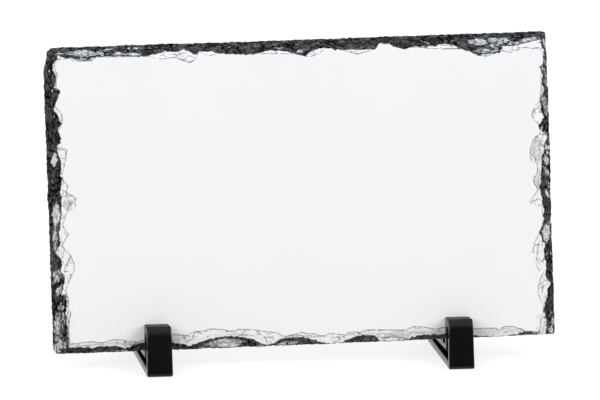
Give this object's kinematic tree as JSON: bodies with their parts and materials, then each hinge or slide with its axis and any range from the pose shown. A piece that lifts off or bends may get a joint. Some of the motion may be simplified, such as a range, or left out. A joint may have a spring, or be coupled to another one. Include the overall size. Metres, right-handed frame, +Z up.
{
  "type": "slate display board",
  "caption": "Rectangular hand-chipped slate slab with a white-coated face, leaning back in the slots of moulded black feet that slide along its lower edge.",
  "frame": {"origin": "on the table, at the middle of the outer box in X and Y", "axes": "+X along the board to the viewer's right, +Y to the back, +Z up"},
  "size_m": [0.2521, 0.0698, 0.1603],
  "materials": {
    "slate": "matte",
    "coat": "satin",
    "foot_plastic": "gloss"
  },
  "bodies": {
    "left_foot": {"left_foot": "foot_plastic"},
    "board": {"slate_slab": "slate", "white_coat": "coat"},
    "right_foot": {"right_foot": "foot_plastic"}
  },
  "joints": [
    {"name": "board_lift", "type": "slide", "parent": "left_foot", "child": "board", "axis": [0, 0.1736, 0.9848], "range_m": [0, 0.036]},
    {"name": "right_foot_slide", "type": "slide", "parent": "left_foot", "child": "right_foot", "axis": [1, 0, 0], "range_m": [-0.1, 0.042]}
  ]
}
